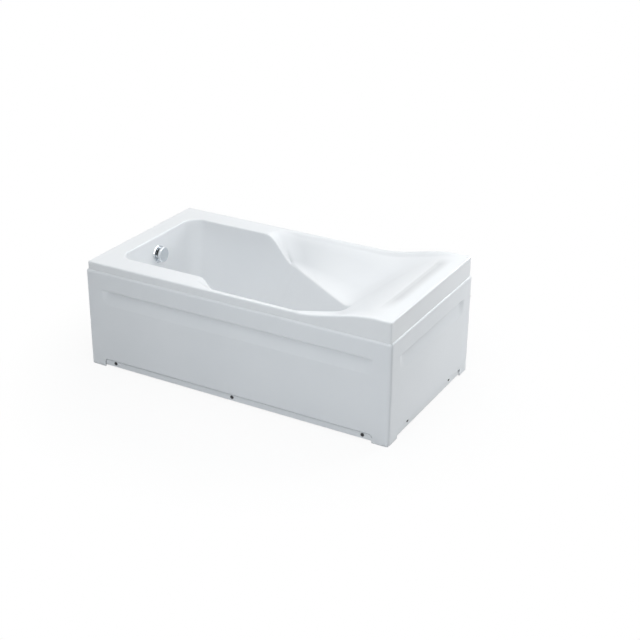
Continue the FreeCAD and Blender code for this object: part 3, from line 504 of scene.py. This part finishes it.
def between(start, end, steps):
    """Rows between two rows of spots, without either."""
    return [start + (end - start) * step / steps for step in range(1, steps)]


def lifted(plan, heights):
    """Spots of a plan at their heights."""
    return np.column_stack([plan, np.broadcast_to(heights, len(plan))])


def toward(start, end, length):
    """Spots a length from the first row towards the second."""
    way = end - start
    return start + way / np.linalg.norm(way, axis=1)[:, None] * length


def shell_rows():
    """Rows of spots from the drain over floor, wall, mouth, deck and rim to the flange's lower edge."""
    low_plan, top_plan = well_columns(FLOOR), well_columns(RIM_TOP)
    lean = (top_plan - low_plan) / (RIM_TOP - FLOOR)
    low, high = np.full(len(lean), float(MOUTH_LOW)), np.full(len(lean), float(MOUTH_HIGH))
    for _ in range(MOUTH_ROUNDS):
        middle = (low + high) / 2
        plan = low_plan + lean * (middle - FLOOR)[:, None]
        below = middle < deck_height(plan[:, 0], plan[:, 1])
        low, high = np.where(below, middle, low), np.where(below, high, middle)
    mouth = lifted(low_plan + lean * (low - FLOOR)[:, None], low)
    corner = lifted(low_plan, FLOOR)

    drain = np.array([DRAIN_X, 0])
    angles = np.arctan2(low_plan[:, 1], low_plan[:, 0] - DRAIN_X)
    hole = lifted(drain + DRAIN_RADIUS * np.column_stack([np.cos(angles), np.sin(angles)]), FLOOR)
    floor_edge = toward(corner, hole, FLOOR_BEND)
    wall_foot = toward(corner, mouth, FLOOR_BEND)
    wall_top = toward(mouth, corner, MOUTH_BEND)
    rim_inner, rim_outer = rim_columns(RIM_ROUND), rim_columns(0)
    deck_start = toward(mouth[:, :2], rim_inner, MOUTH_BEND)

    rows = [hole] + between(hole, floor_edge, FLOOR_ROWS)
    rows += bend(floor_edge, corner, wall_foot, FLOOR_BEND_ROWS)
    rows += between(wall_foot, wall_top, WALL_ROWS)
    rows += bend(wall_top, mouth, lifted(deck_start, deck_height(*deck_start.T)), MOUTH_ROWS)
    for plan in between(deck_start, rim_inner, DECK_ROWS):
        rows.append(lifted(plan, deck_height(*plan.T)))
    top = rim_height(rim_outer[:, 0])
    rows += bend(lifted(rim_inner, top), lifted(rim_outer, top), lifted(rim_outer, top - RIM_ROUND), RIM_ROWS)
    flange = lifted(rim_outer, LIP_BOTTOM)
    rows += between(rows[-1], flange, FLANGE_ROWS) + [flange]
    return rows


def open_overflow(rows):
    """Rounds the grid to the overflow hole; gives the spots that fall inside it."""
    wall_x = FOOT_DECK - RIM_X + (RIM_TOP - OVERFLOW_Z) * FOOT_LEAN
    middle = np.array([wall_x, 0, OVERFLOW_Z])
    up = np.array([-FOOT_LEAN, 0, 1]) / math.hypot(FOOT_LEAN, 1)
    inside = set()
    for row in rows:
        for spot in row:
            way = spot - middle
            across, rise = way[1], way @ up
            away = math.hypot(across, rise)
            if abs(way[0]) > OVERFLOW_REACH or away > OVERFLOW_RADIUS + OVERFLOW_SNAP:
                continue
            if away > OVERFLOW_RADIUS - OVERFLOW_SNAP:
                spot[:] = middle + (np.array([0, across, 0]) + up * rise) * OVERFLOW_RADIUS / away
            else:
                inside.add(rounded(spot))
    return inside


def bath_shell():
    """The shell's skin with the overflow hole left open, backed by its wall."""
    rows = shell_rows()
    inside = open_overflow(rows)
    skin = Skin()
    count = len(rows[0])
    for lower, upper in zip(rows, rows[1:]):
        for index in range(count):
            following = (index + 1) % count
            loop = [lower[index], upper[index], upper[following], lower[following]]
            if not any(rounded(spot) in inside for spot in loop):
                skin.face(loop)
    item = skin.build("bath_shell", [FINISHES["acrylic"], LAMINATE])
    thicken(item, SHELL_WALL)
    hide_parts("tub_shell")
    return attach(item, "tub")


bath_shell()


# The skirts: a panel that turns its corners, with a groove, a toe opening and a strip behind it
SKIRT_TOP, SKIRT_WALL, EDGE_IN, EDGE_HIGH, EDGE_CURVE, EDGE_STEPS = 463, 4.6, 5.25, 9, 1.5, 6
GROOVE_TOP, GROOVE_SPAN, GROOVE_DEPTH, GROOVE_INSET, GROOVE_LIP = 383, 74, 14, 72, 12
GROOVE_TAPER, GROOVE_CURVE, GROOVE_STEP = 45, 0.9, 5
GROOVE_LOW = GROOVE_TOP - GROOVE_SPAN
SKIRT_FOOT, TOE_TOP, TOE_CLEAR, TOE_CORNER, LEDGE_DROP = 75, 39, 8, 14, 5
ARCH_END, ARCH_STEPS, FACE_STEPS, CORNER_MARK = TOE_TOP - TOE_CORNER, 6, 90, 25
LEDGE_END = ARCH_END - LEDGE_DROP
NEAR, SAME = 0.01, 0.0005

# How far the toe strip lies back, and how much further the ledge over it
FRONT_RECESS, END_RECESS = (4, 4), (4, 0)

# Ends of the panels: width and depth of the oval turn, how far back the edge is, and the round on that edge
FRONT_WALL_END, FRONT_HEAD_END = (8, 8, 45), (19, 6, 6)
END_SEAM, END_WALL_END = (8, 7, 7), (8, 8, 45)
TURN_STEPS, BACK_STEPS, EDGE_CURL, CURL_ANGLES = 8, 3, 4, (30, 60, 90)

# Heights of the panel's rows: those at the toe, then bands with their counts of rows
TOE_LEVELS = [0, TOE_CLEAR, LEDGE_END, ARCH_END, 29, 33, 36, TOE_TOP]
BANDS = [(50, GROOVE_LOW - 4, 16), (GROOVE_LOW, GROOVE_TOP - 22, 16), (GROOVE_TOP - 20, GROOVE_TOP, 14),
         (GROOVE_TOP + 4, 445, 5)]
LEVELS = TOE_LEVELS + [z for low, high, count in BANDS for z in np.linspace(low, high, count)]


def groove(x, z, half):
    """How deep the groove is: a soft lip above, fading out below, with tapered ends."""
    below = GROOVE_TOP - z
    end = half - GROOVE_INSET - abs(x)
    fall = 1 - min(max(below / GROOVE_SPAN, 0), 1)
    return float(GROOVE_DEPTH * ease(below / GROOVE_LIP) * ease(end / GROOVE_TAPER) * fall ** GROOVE_CURVE)


def skirt_path(half, face, low_end, high_end):
    """Plan of the panel as spots with their outward ways; each end turns a corner and runs back."""
    opening = half - SKIRT_FOOT
    ends = half - GROOVE_INSET
    marks = set()
    for hand in (-1, 1):
        marks.update(hand * (opening - TOE_CORNER * step / ARCH_STEPS) for step in range(ARCH_STEPS + 1))
        marks.update(hand * (ends - GROOVE_STEP * step) for step in range(-1, 14))
        marks.add(hand * (half - CORNER_MARK))
    marks.update(np.linspace(-opening, opening, FACE_STEPS))
    low_x, high_x = low_end[0] - half, half - high_end[0]
    marks.update((low_x, high_x))
    face_x = sorted({round(float(x), 3) for x in marks if low_x - NEAR <= x <= high_x + NEAR})
    path = [(x, -face, 0, -1) for x in face_x]

    def corner(hand, wide, deep, reach):
        """An oval turn; where the panel reaches further back, a straight run and a rounded edge."""
        turned = []
        for step in range(1, TURN_STEPS + 1):
            angle = math.radians(90 * step / TURN_STEPS)
            across, out = math.sin(angle), math.cos(angle)
            spot = (hand * (half - wide + wide * across), deep - face - deep * out)
            turned.append((*spot, hand * across, -out))
        straight = reach - deep - EDGE_CURL
        if straight < 0:
            return turned
        for step in range(1, BACK_STEPS + 1):
            turned.append((hand * half, deep - face + straight * step / BACK_STEPS, hand, 0))
        for angle in CURL_ANGLES:
            way = (hand * math.cos(math.radians(angle)), math.sin(math.radians(angle)))
            turned.append((hand * (half - EDGE_CURL) + EDGE_CURL * way[0],
                           deep - face + straight + EDGE_CURL * way[1], *way))
        return turned

    return corner(-1, *low_end)[::-1] + path + corner(1, *high_end)


def skirt(name, node, half, face, recess, low_end, high_end, turn=None):
    """One panel with its toe strip, drawn facing -Y about the middle and turned to its place."""
    opening = half - SKIRT_FOOT
    path = skirt_path(half, face, low_end, high_end)

    def on_face(y):
        return y < NEAR - face

    def underside(x, y):
        """Lower edge of the panel at a place along it."""
        if not on_face(y) or abs(x) >= opening - SAME:
            return 0
        past = max(abs(x) - (opening - TOE_CORNER), 0)
        return ARCH_END + math.sqrt(TOE_CORNER ** 2 - past ** 2)

    def column(x, y, way_x, way_y, lowest):
        """Spots up the panel at a place along it, with the rounded upper edge."""
        spots = []
        for z in LEVELS:
            inward = groove(x, z, half) if on_face(y) else 0
            spots.append((x - way_x * inward, y - way_y * inward, max(z, lowest)))
        for step in range(EDGE_STEPS + 1):
            share = step / EDGE_STEPS
            inward = EDGE_IN * share ** EDGE_CURVE
            z = SKIRT_TOP - EDGE_HIGH * (1 - share)
            spots.append((x - way_x * inward, y - way_y * inward, z))
        return spots

    skin = Skin()
    columns = []
    for x, y, way_x, way_y in path:
        inner = abs(abs(x) - opening) < SAME and on_face(y)
        edges = [ARCH_END, 0] if inner else [underside(x, y)]
        if inner and x < 0:
            edges.reverse()
        columns += [column(x, y, way_x, way_y, lowest) for lowest in edges]
    skin.rows([list(row) for row in zip(*columns)])

    strip_y, ledge_y = recess[0] - face, sum(recess) - face
    arch = [(x, underside(min(abs(x), opening - 2 * SAME), -face)) for x, y, *_ in path
            if abs(x) <= opening + 2 * SAME and on_face(y)]
    strip = [[(x, strip_y, z) for x, _ in arch] for z in (TOE_CLEAR, TOE_CLEAR + 1)]
    for y, drop in ((strip_y, LEDGE_DROP), (ledge_y, LEDGE_DROP), (ledge_y, 0), (-face, 0)):
        strip.append([(x, y, z - drop) for x, z in arch])
    skin.rows(strip)
    for hand in (-1, 1):
        for y, low, high in ((strip_y, TOE_CLEAR, LEDGE_END), (ledge_y, LEDGE_END, ARCH_END)):
            skin.rows([[(hand * opening, y, z), (hand * opening, -face, z)][::hand] for z in (low, high)])
    item = skin.build(name, [FINISHES["skirt"], LAMINATE], turn)
    thicken(item, SKIRT_WALL)
    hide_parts(node)
    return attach(item, "tub")


FRONT_LOW, FRONT_HIGH = (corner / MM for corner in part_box("front_skirt"))
END_LOW, END_HIGH = (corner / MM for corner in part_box("end_skirt"))
skirt("front_panel", "front_skirt", FRONT_HIGH.x, -FRONT_LOW.y, FRONT_RECESS,
      FRONT_WALL_END, FRONT_HEAD_END)
end_middle = Matrix.Translation((0, (END_LOW.y + END_HIGH.y) / 2 * MM, 0))
skirt("end_panel", "end_skirt", (END_HIGH.y - END_LOW.y) / 2, END_HIGH.x, END_RECESS,
      END_SEAM, END_WALL_END, end_middle @ Matrix.Rotation(math.radians(90), 4, "Z"))


# Screws through the toe strips into the rails behind them: places along the strip and heights
SCREW_RADIUS, SCREW_DOME, SCREW_STEPS = 6.8, 3.4, 32
SLOT_DEPTH, SLOT_HALF, SLOT_REACH = 1.6, 0.75, 3.9
WASHER_SHARE, WASHER_TOP, WASHER_FOOT = 1.25, 0.4, -0.5
FRONT_SCREWS = [(-620, 24), (0, 24), (632, 24)]
END_SCREWS = [(-210, 33), (210, 33)]


def screw(name, spot, turn):
    """A domed head with a cross recess, on a washer face."""
    skin = Skin()
    turns = [2 * math.pi * step / SCREW_STEPS for step in range(SCREW_STEPS)]
    rings = [(0.001, 0), (1.2, 0), (2.4, 0.05), (3.8, 0.18), (5.2, 0.45), (6.2, 0.82), (SCREW_RADIUS, 1)]
    grid = []
    for radius, fall in rings:
        row = []
        for angle in turns:
            x, y = radius * math.cos(angle), radius * math.sin(angle)
            arm = min(abs(x), abs(y)) < SLOT_HALF and radius < SLOT_REACH
            row.append((x, y, SCREW_DOME * (1 - fall) - (SLOT_DEPTH if arm else 0)))
        grid.append(row)
    grid.append([(WASHER_SHARE * x, WASHER_SHARE * y, WASHER_TOP) for x, y, z in grid[-1]])
    grid.append([(x, y, WASHER_FOOT) for x, y, z in grid[-1]])
    skin.rows(grid[::-1], closed=True)
    place = Matrix.Translation(Vector(spot) * MM) @ turn
    item = skin.build(name, [FINISHES["foot"]], place)
    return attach(item, "tub")


to_front = Matrix.Rotation(math.radians(90), 4, "X")
to_head = Matrix.Rotation(math.radians(90), 4, "Y")
for index, (x, z) in enumerate(FRONT_SCREWS, 1):
    screw(f"front_screw_{index}", (x, FRONT_LOW.y + FRONT_RECESS[0], z), to_front)
for index, (y, z) in enumerate(END_SCREWS, 1):
    screw(f"end_screw_{index}", (END_HIGH.x - END_RECESS[0], y, z), to_head)


# Camera, found from the corners of the tub
AZIMUTH, ELEVATION, ROLL = math.radians(28.853), math.radians(25.341), math.radians(0.685)
CAMERA_SPOT, LENS = (2.6639, -4.4542, 2.6884), 72.1
back = Vector((math.sin(AZIMUTH) * math.cos(ELEVATION), -math.cos(AZIMUTH) * math.cos(ELEVATION),
               math.sin(ELEVATION)))
level = Vector((0, 0, 1)).cross(back).normalized()
upward = back.cross(level)
right = math.cos(ROLL) * level + math.sin(ROLL) * upward
above = math.cos(ROLL) * upward - math.sin(ROLL) * level
lens = bpy.data.cameras.new("camera")
lens.lens = LENS
camera = bpy.data.objects.new("camera", lens)
camera.matrix_world = Matrix.Translation(CAMERA_SPOT) @ Matrix((right, above, back)).transposed().to_4x4()
bpy.context.scene.collection.objects.link(camera)
bpy.context.scene.camera = camera


# Studio: a broad lamp overhead, smaller ones round the tub, a white room and a white floor
def area_lamp(name, spot, target, size, power, colour=(1, 1, 1)):
    """A rectangle of light, in metres and watts, that faces its target."""
    lamp = bpy.data.lights.new(name, "AREA")
    lamp.shape = "RECTANGLE"
    lamp.size, lamp.size_y = size
    lamp.energy = power
    lamp.color = colour
    item = bpy.data.objects.new(name, lamp)
    item.location = spot
    item.rotation_euler = (Vector(target) - Vector(spot)).to_track_quat("-Z", "Y").to_euler()
    bpy.context.scene.collection.objects.link(item)


COOL, COLD = (0.965, 0.985, 1), (0.9, 0.95, 1)
FILL_COLOUR, FILL_STRENGTH = (0.85, 0.94, 1, 1), 0.16
area_lamp("overhead", (-0.2, 0.3, 3.4), (0, 0, 0.3), (5.0, 5.0), 93)
area_lamp("front_top", (0.8, -1.8, 3.2), (0.3, 0, 0.3), (3.0, 2.0), 26, COOL)
area_lamp("front_side", (0.5, -2.1, 1.3), (0.2, 0, 0.3), (1.2, 0.8), 7, COLD)
area_lamp("head_side", (1.9, 2.2, 1.5), (0.5, 0.2, 0.3), (1.4, 1.2), 32, COOL)
area_lamp("head_top", (2.8, 0.8, 2.6), (0.1, 0, 0.4), (2.0, 2.0), 6.5, COOL)
area_lamp("back_top", (-0.8, 2.8, 2.6), (0.1, 0, 0.3), (3.0, 2.0), 6)


def seen_rays(tree):
    """One for rays from the camera, a reflection or a clear piece, nothing for the light that falls."""
    rays = tree.nodes.new("ShaderNodeLightPath").outputs
    share = rays["Is Camera Ray"]
    for kind in ("Is Glossy Ray", "Is Transmission Ray"):
        either = tree.nodes.new("ShaderNodeMath")
        either.operation = "MAXIMUM"
        tree.links.new(share, either.inputs[0])
        tree.links.new(rays[kind], either.inputs[1])
        share = either.outputs["Value"]
    return share


world = bpy.data.worlds.new("room")
bpy.context.scene.world = world
world.use_nodes = True
room = world.node_tree
seen = seen_rays(room)
white = room.nodes.new("ShaderNodeBackground")
white.inputs["Color"].default_value = (1, 1, 1, 1)
white.inputs["Strength"].default_value = 1
fill = room.nodes["Background"]
fill.inputs["Color"].default_value = FILL_COLOUR
fill.inputs["Strength"].default_value = FILL_STRENGTH
choice = room.nodes.new("ShaderNodeMixShader")
room.links.new(seen, choice.inputs["Fac"])
room.links.new(fill.outputs["Background"], choice.inputs[1])
room.links.new(white.outputs["Background"], choice.inputs[2])
room.links.new(choice.outputs["Shader"], room.nodes["World Output"].inputs["Surface"])


FLOOR_HALF, NEAR_WHITE, WHITE_START, WHITE_FULL = 5000, 0.9, 0.85, 1.25


def floor_paper(name):
    """White paper that keeps the shadow at the tub and is plain white to the camera further out."""
    finish, tree, shader, place = new_finish(name)
    tint(tree, shader, noise(tree, place, 3), (0.3, (0.86, 0.86, 0.86)), (0.7, (0.88, 0.88, 0.88)))
    shader.inputs["Roughness"].default_value = 1
    shader.inputs["Specular IOR Level"].default_value = 0
    away = tree.nodes.new("ShaderNodeVectorMath")
    away.operation = "LENGTH"
    tree.links.new(place, away.inputs[0])
    far = spread(tree, away.outputs["Value"], NEAR_WHITE, 1, WHITE_START, WHITE_FULL)
    share = tree.nodes.new("ShaderNodeMath")
    share.operation = "MULTIPLY"
    tree.links.new(far, share.inputs[0])
    tree.links.new(seen_rays(tree), share.inputs[1])
    glow = tree.nodes.new("ShaderNodeEmission")
    glow.inputs["Strength"].default_value = 1
    mix = tree.nodes.new("ShaderNodeMixShader")
    tree.links.new(share.outputs["Value"], mix.inputs["Fac"])
    tree.links.new(shader.outputs["BSDF"], mix.inputs[1])
    tree.links.new(glow.outputs["Emission"], mix.inputs[2])
    tree.links.new(mix.outputs["Shader"], tree.nodes["Material Output"].inputs["Surface"])
    return finish


ground = Skin()
ground.face([(x * FLOOR_HALF, y * FLOOR_HALF, 0) for x, y in ((-1, -1), (1, -1), (1, 1), (-1, 1))])
floor = ground.build("floor", [floor_paper("floor_paper")])

bpy.context.scene.view_settings.view_transform = "Standard"
